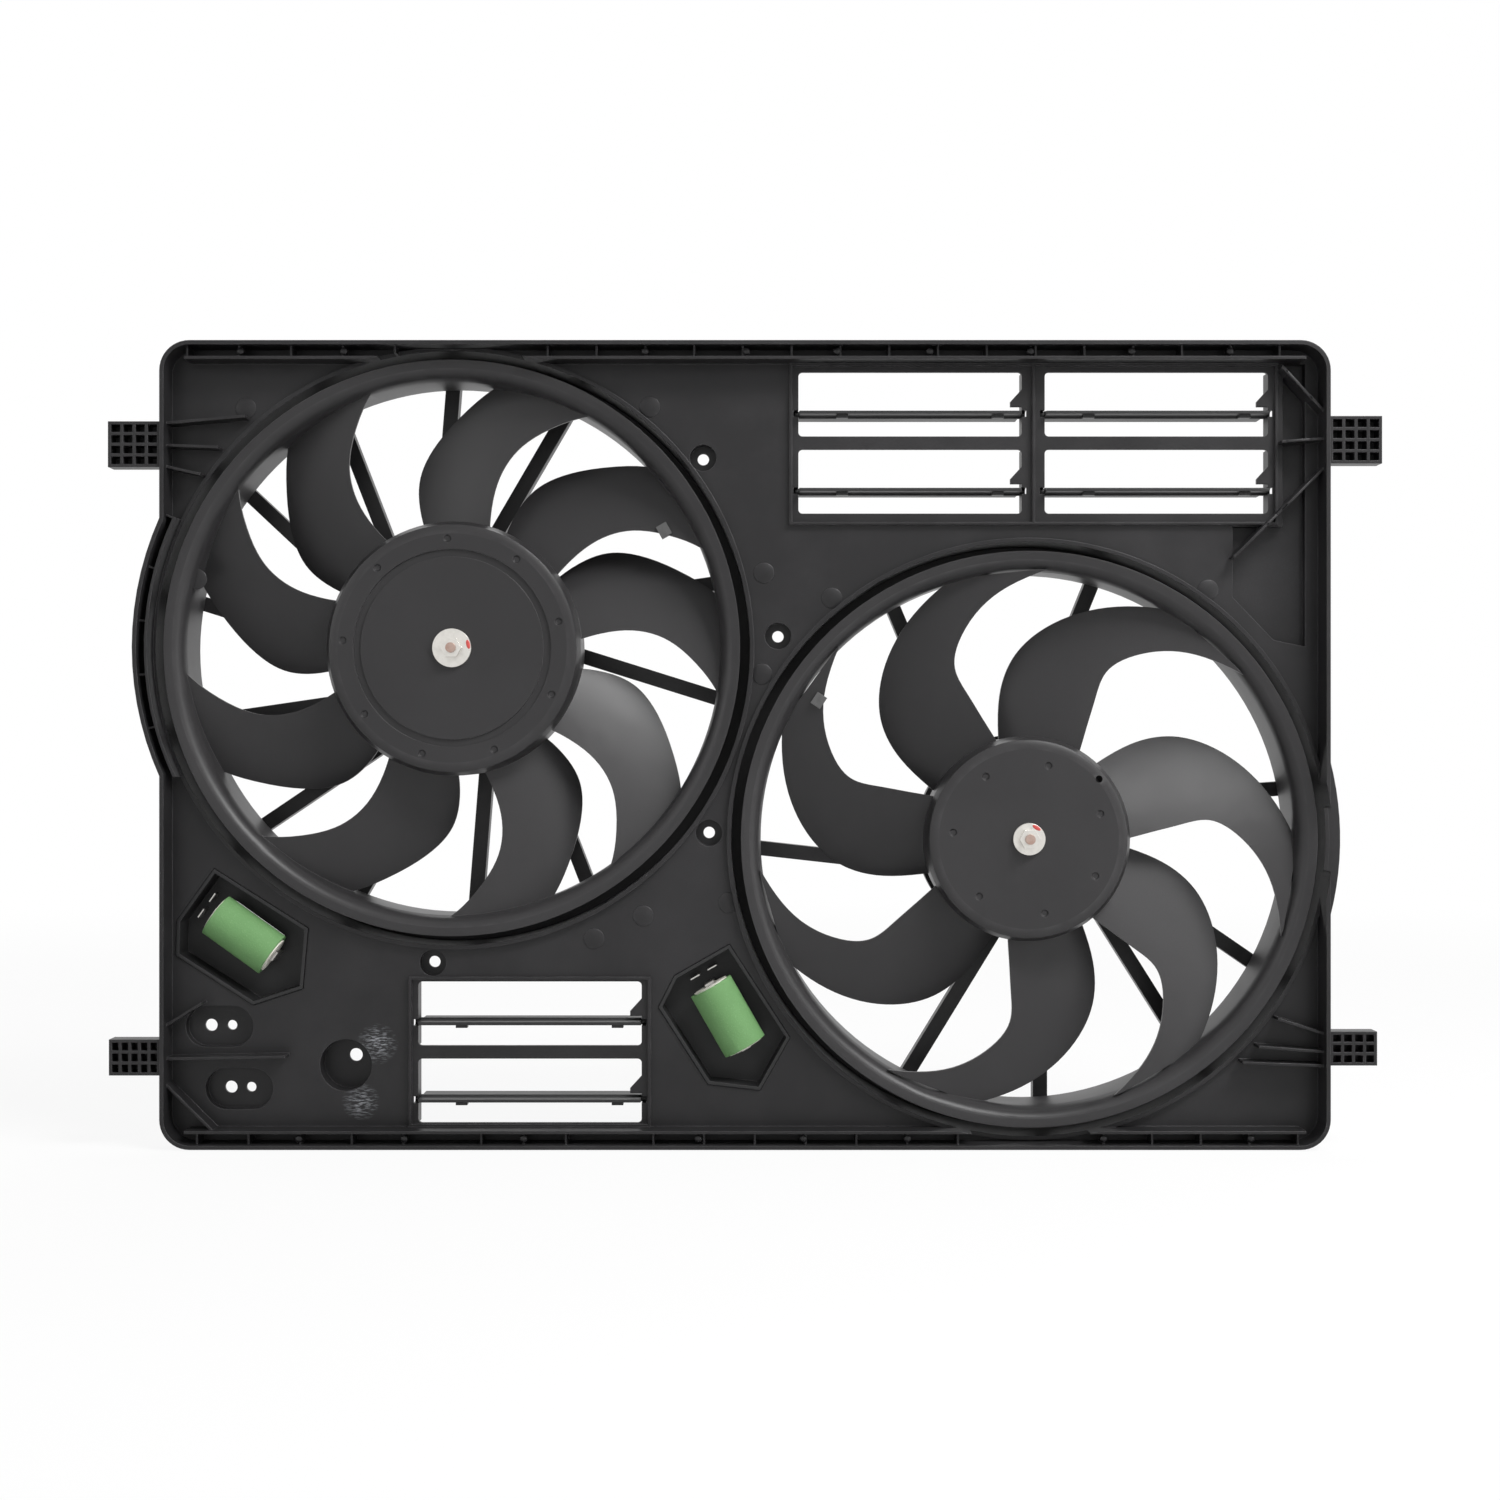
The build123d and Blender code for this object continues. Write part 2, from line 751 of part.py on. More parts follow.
def window_group(corner, columns, margin):
    """The outline of a window frame: a rectangle round its windows that ends at the rails."""
    middle = (corner[0] + window_pitch_x * (columns - 1) / 2, corner[1] - window_pitch_z / 2)
    width = window_width + window_pitch_x * (columns - 1) + 2 * frame_margin
    with BuildSketch(front_plane(0)) as shape:
        with Locations(middle):
            Rectangle(width, window_height + window_pitch_z + 2 * margin)
        Rectangle(2 * body_width, 2 * rail_inside, mode=Mode.INTERSECT)
    return shape.sketch


def make_window_frame(group, columns, places):
    """A frame with its windows, the low lips round them, the jambs that carry the flaps and the stop lugs."""
    extent = group.bounding_box()
    with BuildPart() as slots:
        for x, z in places:
            for side in (-1, 1):
                slot_plane = Plane(
                    origin=(x + side * window_width / 2, pivot_depth, z - pivot_drop),
                    x_dir=(0, 1, 0),
                    z_dir=(side, 0, 0),
                )
                with BuildSketch(slot_plane):
                    Circle(pin_radius + pin_clearance)
                    with Locations((-pivot_depth / 2, 0)):
                        Rectangle(pivot_depth, 2 * (pin_radius + pin_clearance))
                extrude(amount=pin_length + flap_end_gap)
    with BuildPart() as frame:
        with BuildSketch(front_plane(floor_front)):
            add(group)
        extrude(amount=-wall)
        with BuildSketch(front_plane(floor_front - frame_height)):
            add(group)
            offset(group, amount=-thin_rib, kind=Kind.INTERSECTION, mode=Mode.SUBTRACT)
            for i in range(columns - 1):
                with Locations((places[0][0] + window_pitch_x * (i + 0.5), extent.center().Z)):
                    Rectangle(thin_rib, extent.size.Z)
        extrude(amount=-frame_height)
        with BuildSketch(front_plane(floor_back)):
            for x, z in places:
                reach = (window_width + jamb_thickness) / 2
                with Locations((x - reach, z), (x + reach, z)):
                    Rectangle(jamb_thickness, window_height)
        extrude(amount=floor_back - jamb_back)
        with BuildSketch(front_plane(0)):
            with Locations(*places):
                RectangleRounded(window_width, window_height, window_corner)
        extrude(amount=-floor_back, mode=Mode.SUBTRACT)
        add(slots.part, mode=Mode.SUBTRACT)
        # Stop lugs stand in the windows' right sides, above the flaps
        with BuildSketch(front_plane(floor_front)):
            for x, z in places:
                edge = x + window_width / 2
                foot = z - pivot_drop + lug_rise
                tip = edge - lug_reach
                root = edge + wall / 2
                Polygon((root, foot), (root, foot + lug_height), (tip, foot + lug_tip), (tip, foot),
                        align=None)
        extrude(amount=-wall)
    return frame.part


def make_rim():
    """The front rim with its rails: double walls joined by cross ribs."""
    channel_radius = bulge_outer_radius - wall - bulge_channel
    rail_z = rail_inside + rail_wall / 2
    with BuildPart() as rim:
        with BuildSketch(front_plane(0)):
            add(outline(0))
            add(outline(wall), mode=Mode.SUBTRACT)
        extrude(amount=-floor_front)
        # Inner walls of the rails: straight along the top and the bottom, round beside the left fan
        with BuildSketch(front_plane(rail_front)):
            with Locations((0, rail_z), (0, -rail_z)):
                Rectangle(body_width - 2 * rail_end, rail_wall)
        extrude(amount=rail_front - floor_front)
        with BuildSketch(front_plane(rail_front, left_centre)):
            Circle(channel_radius)
            Circle(channel_radius - rail_wall, mode=Mode.SUBTRACT)
            with Locations((-bulge_outer_radius, 0)):
                Rectangle(2 * (bulge_outer_radius - bulge_keep), 2 * bulge_half_height, mode=Mode.INTERSECT)
        extrude(amount=rail_front - floor_front)
        with BuildSketch(front_plane(rail_rib_front)):
            for first, pitch, count, side in rail_ribs:
                height = side * (rail_z + rail_width / 2)
                with Locations(*[(first + pitch * i, height) for i in range(count)]):
                    Rectangle(rail_rib, rail_width + rail_wall)
            with Locations(left_centre):
                with PolarLocations(channel_radius + bulge_channel / 2, 5, start_angle=155, angular_range=50):
                    Rectangle(bulge_channel + rail_wall, rail_rib)
        extrude(amount=rail_rib_front - floor_front)
        with BuildSketch(front_plane(0)):
            with Locations(left_centre, right_centre):
                Circle(barrel_inner_radius)
        extrude(amount=-floor_back, mode=Mode.SUBTRACT)
    save(rim, "shroud_rim")
    return rim.part


def make_floor(rim, groups, frames):
    """The floor of the shroud with its ribs, bosses, pads, valley, pockets and window frames."""
    with BuildPart() as panel:
        with BuildSketch(front_plane(floor_front)):
            add(outline(0))
            with Locations(right_centre):
                Circle(bulge_outer_radius)
            Rectangle(2 * body_width, body_height, mode=Mode.INTERSECT)
        extrude(amount=-wall)
        with BuildSketch(front_plane(rib_front)):
            for start, end in floor_ribs:
                bar(start, end, thin_rib)
        extrude(amount=rib_front - floor_front)

        # Deep cups behind the screw bosses, and the racetrack pads
        with BuildSketch(front_plane(floor_back)):
            with Locations(*boss_places):
                Circle(boss_recess_radius + wall)
        extrude(amount=floor_back - boss_back)
        with BuildSketch(front_plane(floor_back)):
            with Locations(big_boss_place):
                Circle(big_boss_recess_radius + wall)
        extrude(amount=floor_back - big_boss_back)
        with BuildSketch(front_plane(floor_back)):
            with Locations(*pad_places):
                SlotOverall(pad_length + 2 * wall, pad_height + 2 * wall)
        extrude(amount=floor_back - pad_back)
        # The valley beside the right edge
        with BuildSketch(front_plane(floor_back)):
            Polygon(*valley_corners, align=None)
            offset(amount=wall, kind=Kind.INTERSECTION)
        extrude(amount=-valley_depth)

        # What stands behind the floor ends at the barrels
        with BuildSketch(front_plane(floor_back)):
            with Locations(left_centre, right_centre):
                Circle(barrel_outer_radius)
        extrude(amount=floor_back - barrel_step, mode=Mode.SUBTRACT)

        # Fan mouths, each with a low lip
        with BuildSketch(front_plane(floor_front - barrel_lip)):
            with Locations(left_centre, right_centre):
                Circle(barrel_outer_radius)
        extrude(amount=-barrel_lip)
        with BuildSketch(front_plane(0)):
            with Locations(left_centre, right_centre):
                Circle(barrel_inner_radius)
            for group in groups:
                add(group)
        extrude(amount=-floor_back, mode=Mode.SUBTRACT)

        # Recesses and through holes
        with BuildSketch(front_plane(0)):
            with Locations(*boss_places):
                Circle(boss_recess_radius)
        extrude(amount=wall - boss_back, mode=Mode.SUBTRACT)
        with BuildSketch(front_plane(0)):
            with Locations(*boss_places):
                Circle(boss_hole_radius)
        extrude(amount=-boss_back, mode=Mode.SUBTRACT)
        with BuildSketch(front_plane(0)):
            with Locations(big_boss_place):
                Circle(big_boss_recess_radius)
        extrude(amount=wall - big_boss_back, mode=Mode.SUBTRACT)
        with BuildSketch(front_plane(0)):
            with Locations(big_boss_hole):
                Circle(big_boss_hole_radius)
        extrude(amount=-big_boss_back, mode=Mode.SUBTRACT)
        with BuildSketch(front_plane(0)):
            with Locations(*pad_places):
                SlotOverall(pad_length, pad_height)
        extrude(amount=wall - pad_back, mode=Mode.SUBTRACT)
        with BuildSketch(front_plane(0)):
            for (x, z), radius in pad_holes:
                with Locations((x, z)):
                    Circle(radius)
        extrude(amount=-pad_back, mode=Mode.SUBTRACT)
        with BuildSketch(front_plane(0)):
            Polygon(*valley_corners, align=None)
        extrude(amount=-(floor_front + valley_depth), mode=Mode.SUBTRACT)
        with BuildSketch(front_plane(0)):
            add(pocket(left_resistor, left_resistor_turn, 0))
            add(pocket(right_resistor, right_resistor_turn, 0))
        extrude(amount=-floor_back, mode=Mode.SUBTRACT)
        # The floor's features end at the rim and the rails
        for frame in frames:
            add(frame)
        add(rim, mode=Mode.SUBTRACT)
    return panel.part


def part_floor(floor, upper, lower):
    """Parts the floor along lines beside the window frames. One seam steps round the boss beside it."""
    far = body_width
    boss_reach = boss_recess_radius + wall + thin_rib
    step_x, step_z = boss_places[1][0] + boss_reach, boss_places[1][1] + boss_reach
    # Each node's area as rectangles: low and high X, low and high Z
    areas = {
        "shroud_left_panel": ((-far, lower.min.X, -far, far),),
        "lower_window_frame": ((lower.min.X, lower.max.X, -far, left_centre[1]),),
        "shroud_panel": (
            (lower.min.X, lower.max.X, left_centre[1], far),
            (lower.max.X, upper.min.X, -far, far),
            (upper.min.X, step_x, right_centre[1], step_z),
            (upper.min.X, right_centre[0], -far, right_centre[1]),
        ),
        "upper_window_frame": (
            (upper.min.X, upper.max.X, step_z, far),
            (step_x, upper.max.X, right_centre[1], step_z),
        ),
        "shroud_right_panel": (
            (upper.max.X, far, -far, far),
            (right_centre[0], upper.max.X, -far, right_centre[1]),
        ),
    }
    for name, rectangles in areas.items():
        with BuildPart() as piece:
            add(floor)
            with BuildSketch(front_plane(0)):
                for x_low, x_high, z_low, z_high in rectangles:
                    with Locations(((x_low + x_high) / 2, (z_low + z_high) / 2)):
                        Rectangle(x_high - x_low, z_high - z_low)
            extrude(amount=-barrel_step, mode=Mode.INTERSECT)
        save(piece, name)


def make_tab(name, side, bottom, top, width, columns, rows):
    """A mounting tab: a thick block lightened from the front by a grid of square pockets."""
    height = top - bottom
    middle = (side * (body_width + width) / 2, (bottom + top) / 2)
    pitch_x, pitch_z = (width - tab_wall) / columns, (height - tab_wall) / rows
    with BuildPart() as tab:
        with BuildSketch(front_plane(tab_front, middle)):
            Rectangle(width, height)
        extrude(amount=-tab_depth)
        with BuildSketch(front_plane(tab_front, middle)):
            with GridLocations(pitch_x, pitch_z, columns, rows):
                Rectangle(pitch_x - tab_wall, pitch_z - tab_wall)
        extrude(amount=tab_floor - tab_depth, mode=Mode.SUBTRACT)
    save(tab, name)


def make_flap(name, place):
    """A ram-air flap, standing open: a thin plate on a round bar with a pin at each end."""
    x, z = place
    length = window_width - 2 * flap_end_gap
    side_plane = Plane(origin=(x - length / 2, pivot_depth, z - pivot_drop), x_dir=(0, 1, 0), z_dir=(1, 0, 0))
    with BuildPart() as flap:
        with BuildSketch(side_plane):
            with Locations(((flap_back_reach - flap_front_reach) / 2, 0)):
                Rectangle(flap_back_reach + flap_front_reach, flap_thickness)
            Circle(flap_bar_radius)
        extrude(amount=length)
        with BuildSketch(side_plane.offset(-pin_length)):
            Circle(pin_radius)
        extrude(amount=length + 2 * pin_length)
        with BuildSketch(Plane.XY.offset(z - pivot_drop)):
            depth = pivot_depth - flap_front_reach / 2
            left, right = x - length / 2 + flap_block_left, x + length / 2 - flap_block_right
            with Locations((left, depth), (right, depth)):
                Rectangle(flap_block_width, flap_front_reach / 2)
        extrude(amount=-flap_block_height)
    save(flap, name)


def make_resistor(side, centre, turn):
    """A speed resistor in its carrier: a coated winding on a ceramic core, held by a steel strap."""
    along = direction(turn)
    end_plane = Plane(origin=(centre[0], coil_depth, centre[1]), x_dir=(0, -1, 0), z_dir=along)
    with BuildPart() as coil:
        with BuildSketch(end_plane):
            Circle(coil_radius)
            Circle(core_radius, mode=Mode.SUBTRACT)
        extrude(amount=coil_length / 2, both=True)
    save(coil, f"{side}_resistor_coil")
    core_half = coil_length / 2 + core_proud
    with BuildPart() as core:
        with BuildSketch(end_plane):
            Circle(core_radius)
            Circle(core_bore_radius, mode=Mode.SUBTRACT)
        extrude(amount=core_half, both=True)
    save(core, f"{side}_resistor_core")

    tray_floor = carrier_back - carrier_wall
    strap_half = core_half + strap_thickness
    across = (-sin(radians(turn)), 0, cos(radians(turn)))
    with BuildPart() as strap:
        with BuildSketch(Plane(origin=(centre[0], 0, centre[1]), x_dir=along, z_dir=across)):
            with BuildLine():
                Polyline(
                    (-strap_half, tray_floor),
                    (-strap_half, coil_depth - strap_thickness / 2),
                    (strap_half, coil_depth - strap_thickness / 2),
                    (strap_half, tray_floor),
                    (strap_half - strap_thickness, tray_floor),
                    (strap_half - strap_thickness, coil_depth + strap_thickness / 2),
                    (strap_thickness - strap_half, coil_depth + strap_thickness / 2),
                    (strap_thickness - strap_half, tray_floor),
                    close=True,
                )
            make_face()
        extrude(amount=strap_width / 2, both=True)
    save(strap, f"{side}_resistor_strap")

    with BuildPart() as carrier:
        with BuildSketch(front_plane(carrier_front)):
            add(pocket(centre, turn, -pocket_gap))
        extrude(amount=carrier_front - carrier_back)
        with BuildSketch(front_plane(floor_back)):
            add(pocket(centre, turn, carrier_flange))
        extrude(amount=-carrier_wall)
        with BuildSketch(front_plane(carrier_front)):
            add(pocket(centre, turn, -pocket_gap - carrier_wall))
        extrude(amount=carrier_front - tray_floor, mode=Mode.SUBTRACT)
        with BuildSketch(Plane(origin=(centre[0], tray_floor, centre[1]), x_dir=along, z_dir=(0, -1, 0))):
            with GridLocations(0, vent_pitch, 1, 3):
                SlotOverall(vent_length, vent_width)
        extrude(amount=-carrier_wall, mode=Mode.SUBTRACT)
    save(carrier, f"{side}_resistor_carrier")


def make_terminals():
    """The resistors' blade terminals, two on each carrier: one group of like pieces."""
    with BuildPart() as terminals:
        for (x, z), turn in ((left_resistor, left_resistor_turn), (right_resistor, right_resistor_turn)):
            origin = (x, carrier_back - carrier_wall, z)
            with BuildSketch(Plane(origin=origin, x_dir=direction(turn), z_dir=(0, -1, 0))):
                with Locations((-terminal_place, terminal_spread), (-terminal_place, -terminal_spread)):
                    Rectangle(terminal_thickness, terminal_width)
            extrude(amount=terminal_length)
    save(terminals, "resistor_terminals")


def make_screws():
    """Motor screws, put in from the radiator side before the fans go on: one group of like pieces."""
    with BuildPart() as screws:
        for fan in (left_fan, right_fan):
            with BuildSketch(front_plane(spider_front - ear_thickness, fan.centre)):
                with Locations(*screw_places(fan)):
                    RegularPolygon(screw_head_radius, 6)
            extrude(amount=screw_head_height)
            with BuildSketch(front_plane(spider_front - ear_thickness, fan.centre)):
                with Locations(*screw_places(fan)):
                    Circle(screw_radius)
            extrude(amount=-screw_length)
    save(screws, "motor_screws")


for fan in (left_fan, right_fan):
    rotor = make_rotor(fan)
    make_shaft_train(fan, rotor)
    make_motor(fan)
    make_spider(fan)
    make_barrel(fan)

upper_group = window_group(upper_windows, 2, upper_frame_margin)
lower_group = window_group(lower_window, 1, lower_frame_margin)
frames = (
    make_window_frame(upper_group, 2, window_places()[:4]),
    make_window_frame(lower_group, 1, window_places()[4:]),
)
floor = make_floor(make_rim(), (upper_group, lower_group), frames)
part_floor(floor, upper_group.bounding_box(), lower_group.bounding_box())
for tab in tabs:
    make_tab(*tab)
for number, place in enumerate(window_places(), start=1):
    make_flap(f"flap_{number}", place)
make_resistor("left", left_resistor, left_resistor_turn)
make_resistor("right", right_resistor, right_resistor_turn)
make_terminals()
make_screws()
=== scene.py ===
# %% [markdown]
# A twin radiator fan, dressed for a product picture
#
# The solids come from a CAD model and load as a fixed frame. This lesson gives them the surfaces of the
# real object: black moulded plastic with dust and worn edges, zinc-plated nuts, green-coated resistors.
# It then adds the small forms that a mould leaves behind, and sets up a camera and soft studio light.

# %% Load the frame
import json
from math import cos, pi, radians, sin

import bpy
from mathutils import Matrix, Vector

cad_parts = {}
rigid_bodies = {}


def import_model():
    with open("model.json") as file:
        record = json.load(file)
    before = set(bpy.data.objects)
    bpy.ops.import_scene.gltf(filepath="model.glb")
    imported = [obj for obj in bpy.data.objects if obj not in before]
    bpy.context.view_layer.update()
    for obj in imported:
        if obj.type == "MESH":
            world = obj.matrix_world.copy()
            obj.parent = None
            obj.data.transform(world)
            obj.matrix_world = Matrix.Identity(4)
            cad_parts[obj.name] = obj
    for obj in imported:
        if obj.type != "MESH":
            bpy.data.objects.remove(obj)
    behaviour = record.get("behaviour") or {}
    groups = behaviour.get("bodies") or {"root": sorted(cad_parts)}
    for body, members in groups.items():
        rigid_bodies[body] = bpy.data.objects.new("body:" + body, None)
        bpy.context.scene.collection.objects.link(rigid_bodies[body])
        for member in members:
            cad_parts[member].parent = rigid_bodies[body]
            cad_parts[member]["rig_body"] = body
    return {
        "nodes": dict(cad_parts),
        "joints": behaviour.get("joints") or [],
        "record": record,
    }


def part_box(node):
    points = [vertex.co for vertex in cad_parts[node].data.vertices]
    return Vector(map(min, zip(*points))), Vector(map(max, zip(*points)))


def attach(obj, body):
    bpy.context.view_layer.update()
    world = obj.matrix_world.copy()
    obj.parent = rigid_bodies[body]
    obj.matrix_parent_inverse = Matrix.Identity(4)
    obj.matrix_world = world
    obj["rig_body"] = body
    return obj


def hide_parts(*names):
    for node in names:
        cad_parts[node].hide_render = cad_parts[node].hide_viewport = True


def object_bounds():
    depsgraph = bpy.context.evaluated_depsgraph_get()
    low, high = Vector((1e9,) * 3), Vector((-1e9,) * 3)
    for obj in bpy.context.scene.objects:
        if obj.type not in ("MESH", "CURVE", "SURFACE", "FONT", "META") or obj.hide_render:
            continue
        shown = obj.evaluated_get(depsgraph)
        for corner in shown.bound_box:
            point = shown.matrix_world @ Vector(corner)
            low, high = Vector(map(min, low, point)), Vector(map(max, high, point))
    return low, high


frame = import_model()
nodes = frame["nodes"]
cad_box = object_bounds()

# %% [markdown]
# Where the fans turn
#
# Each fan spins about a joint of the frame, so its centre is read from there and never typed again. Angles
# round a fan run counter-clockwise as seen from the radiator, which is where the camera stands.

# %% Places read from the joints
joint_places = {joint["name"]: Vector(joint["pos_m"]) for joint in frame["joints"]}
fan_centres = {side: joint_places[f"fan_{side}_spin"] for side in ("left", "right")}
mm = 0.001


def round_fan(side, radius, angle, depth):
    """A point at a radius, angle and depth about a fan's axis, in metres and degrees."""
    centre = fan_centres[side]
    return Vector((centre.x + radius * cos(radians(angle)), depth, centre.z + radius * sin(radians(angle))))


print("fan centres:", {side: tuple(round(v, 4) for v in c) for side, c in fan_centres.items()})

# %% [markdown]
# The camera
#
# The picture was taken square to the shroud's face with a moderate lens: the inner walls of the barrels show
# about equally on all sides. A camera 1.45 m in front with a 58 mm lens gives the same lean of those walls.

# %% Camera
camera_data = bpy.data.cameras.new("camera")
camera_data.lens = 58
camera_data.sensor_width = 36
camera_data.clip_start = 0.05
camera = bpy.data.objects.new("camera", camera_data)
camera.location = (0.003, -1.45, -0.003)
camera.rotation_euler = (pi / 2, 0, 0)
bpy.context.scene.collection.objects.link(camera)
bpy.context.scene.camera = camera
print("camera at", tuple(camera.location))

# %% [markdown]
# Node graphs in a few words
#
# A procedural material is a graph of nodes. A few small helpers keep such a graph readable: they add a node and
# set its sockets by name, do sums, carry a value from one range to another, make noise and blend colours. The
# last one makes a group with named inputs and outputs that materials can share.


# %% Helpers for node graphs
def socket_of(node, name):
    """A node's input: i0, i1 and so on by number, any other by its name, with _ for a space."""
    if name[0] == "i" and name[1:].isdigit():
        return node.inputs[int(name[1:])]
    return node.inputs[name.replace("_", " ")]


def add_node(tree, kind, settings=None, **sockets):
    """Adds a node; a socket's value is a constant or another node's output."""
    made = tree.nodes.new(kind)
    for name, value in (settings or {}).items():
        setattr(made, name, value)
    for name, value in sockets.items():
        if isinstance(value, bpy.types.NodeSocket):
            tree.links.new(value, socket_of(made, name))
        else:
            socket_of(made, name).default_value = value
    return made


def feed(tree, node, **outputs):
    """Links outputs to a node's inputs of those names."""
    for name, output in outputs.items():
        tree.links.new(output, socket_of(node, name))


def object_place(tree):
    """The shaded point in the object's own metres."""
    return add_node(tree, "ShaderNodeTexCoord").outputs["Object"]


def combine(tree, operation, *values, clamp=False):
    """The result of a Math node on two or three values."""
    sockets = {f"i{number}": value for number, value in enumerate(values)}
    return add_node(tree, "ShaderNodeMath", {"operation": operation, "use_clamp": clamp}, **sockets).outputs["Value"]


def remap(tree, value, low, high, to_low=0.0, to_high=1.0, kind="LINEAR"):
    """A value carried from one range to another and kept inside it."""
    return add_node(tree, "ShaderNodeMapRange", {"interpolation_type": kind}, i0=value, i1=low, i2=high,
                    i3=to_low, i4=to_high).outputs["Result"]


def noise(tree, place, scale, detail, roughness=0.5):
    """The grey value of a noise texture."""
    return add_node(tree, "ShaderNodeTexNoise", Vector=place, Scale=scale, Detail=detail,
                    Roughness=roughness).outputs["Fac"]


def blend(tree, share, first, second):
    """A colour between two others."""
    return add_node(tree, "ShaderNodeMix", {"data_type": "RGBA"}, i0=share, i6=first, i7=second).outputs[2]


def new_group(name, inputs, outputs):
    """A node group; a socket's default tells its kind: a number, a colour, or None for a vector."""
    tree = bpy.data.node_groups.new(name, "ShaderNodeTree")
    for in_out, sockets in (("INPUT", inputs), ("OUTPUT", outputs)):
        for socket_name, default in sockets.items():
            if default is None:
                kind = "NodeSocketVector"
            else:
                kind = "NodeSocketFloat" if isinstance(default, (int, float)) else "NodeSocketColor"
            socket = tree.interface.new_socket(socket_name, in_out=in_out, socket_type=kind)
            if default is not None:
                socket.default_value = default
    print("group:", name)
    return tree, tree.nodes.new("NodeGroupInput"), tree.nodes.new("NodeGroupOutput")

# %% [markdown]
# What light finds on an edge
#
# No moulded edge is perfectly sharp. A thin rounding catches the light along every rib and rim, and handling
# rubs it paler. The Bevel node rounds the shading without touching the mesh, and where its normal leaves the
# true one there is an edge, so one group gives both the soft normal and a mask for wear and a painted edge highlight.

# %% Soft edges and an edge mask
soft_edge, soft_in, soft_out = new_group("soft_edge", {"Radius": 0.0008}, {"Normal": None, "Edge": 0.0})
rounded = add_node(soft_edge, "ShaderNodeBevel", {"samples": 4}, Radius=soft_in.outputs["Radius"]).outputs["Normal"]
true_normal = add_node(soft_edge, "ShaderNodeNewGeometry").outputs["True Normal"]
agreement = add_node(soft_edge, "ShaderNodeVectorMath", {"operation": "DOT_PRODUCT"}, i0=rounded, i1=true_normal)
flat_agreement, edge_agreement = 0.995, 0.75
edge_mask = remap(soft_edge, agreement.outputs["Value"], flat_agreement, edge_agreement)
feed(soft_edge, soft_out, Normal=rounded, Edge=edge_mask)

# %% [markdown]
# Dust, cloud and streaks
#
# Glass-filled nylon comes out of the mould with cloudy patches where the melt flowed, and a stored part gathers
# fine dust. Both are noise at different sizes: broad clouds for flow, fine specks for dust and glass fibre.

# %% Moulded plastic surface
moulded, moulded_in, moulded_out = new_group(
    "moulded_surface",
    {"Colour": (0.02, 0.02, 0.02, 1), "Dust": (0.1, 0.1, 0.1, 1), "Dust amount": 0.3, "Edge": 0.0,
     "Edge wear": 0.4, "Cloud size": 14.0, "Grain size": 1500.0, "Roughness": 0.5},
    {"Colour": (0, 0, 0, 1), "Roughness": 0.5, "Height": 0.0},
)
given = moulded_in.outputs
moulded_place = object_place(moulded)
cloud = noise(moulded, moulded_place, given["Cloud size"], 6.0, 0.62)
speck = noise(moulded, moulded_place, given["Grain size"], 3.0, 0.7)
dust_mask = combine(moulded, "MULTIPLY", remap(moulded, cloud, 0.42, 0.78), remap(moulded, speck, 0.35, 0.8, 0.25))
dust_share = combine(moulded, "MULTIPLY", dust_mask, given["Dust amount"])
dusty = blend(moulded, dust_share, given["Colour"], given["Dust"])
# Pale edges: partly real wear from handling, partly a painted highlight along every edge, broken up by noise.
rubbing_and_highlight_breakup = remap(moulded, noise(moulded, moulded_place, 90.0, 4.0), 0.35, 0.65, 0.2)
worn_and_highlit_edge = combine(moulded, "MULTIPLY", given["Edge"], rubbing_and_highlight_breakup)
wear_and_highlight_share = combine(moulded, "MULTIPLY", worn_and_highlit_edge, given["Edge wear"], clamp=True)
dust_roughness = 0.18
rough = combine(moulded, "MULTIPLY_ADD", dust_mask, dust_roughness, given["Roughness"], clamp=True)
feed(moulded, moulded_out, Colour=blend(moulded, wear_and_highlight_share, dusty, given["Dust"]), Roughness=rough, Height=speck)

# %% [markdown]
# Scuffs
#
# The shroud was rubbed pale in two spots beside its large boss. A scuff is a soft round patch, broken up by
# slanting streaks: the distance from its middle gives the patch, and a stretched noise gives the streaks.

# %% Scuff mask
scuff, scuff_in, scuff_out = new_group("scuff", {"Middle": None, "Reach": 0.012}, {"Mask": 0.0})
scuff_place = object_place(scuff)
away = add_node(scuff, "ShaderNodeVectorMath", {"operation": "DISTANCE"}, i0=scuff_place,
                i1=scuff_in.outputs["Middle"])
patch = remap(scuff, combine(scuff, "DIVIDE", away.outputs["Value"], scuff_in.outputs["Reach"]), 1.0, 0.2)
streak_slant, streak_stretch = radians(38), 4.5
slanted = add_node(scuff, "ShaderNodeMapping", Vector=scuff_place, Rotation=(0, streak_slant, 0),
                   Scale=(1.0, 1.0, streak_stretch))
streaks = remap(scuff, noise(scuff, slanted.outputs["Vector"], 260.0, 5.0, 0.65), 0.47, 0.66)
feed(scuff, scuff_out, Mask=combine(scuff, "MULTIPLY", patch, streaks))

# %% [markdown]
# Black plastics
#
# The shroud, the fans and the flaps are the same family of plastic with different gloss and dust, so one
# function places the two groups in a material and the values tell the plastics apart.


# %% Plastic materials
scuff_colour = (0.30, 0.31, 0.33, 1)
scuff_spots = (((-0.224, 0.022, -0.182), 0.013), ((-0.234, 0.022, -0.217), 0.012))


def principled(name):
    """A new material with its tree and its Principled BSDF."""
    material = bpy.data.materials.new(name)
    material.use_nodes = True
    tree = material.node_tree
    return material, tree, tree.nodes["Principled BSDF"]


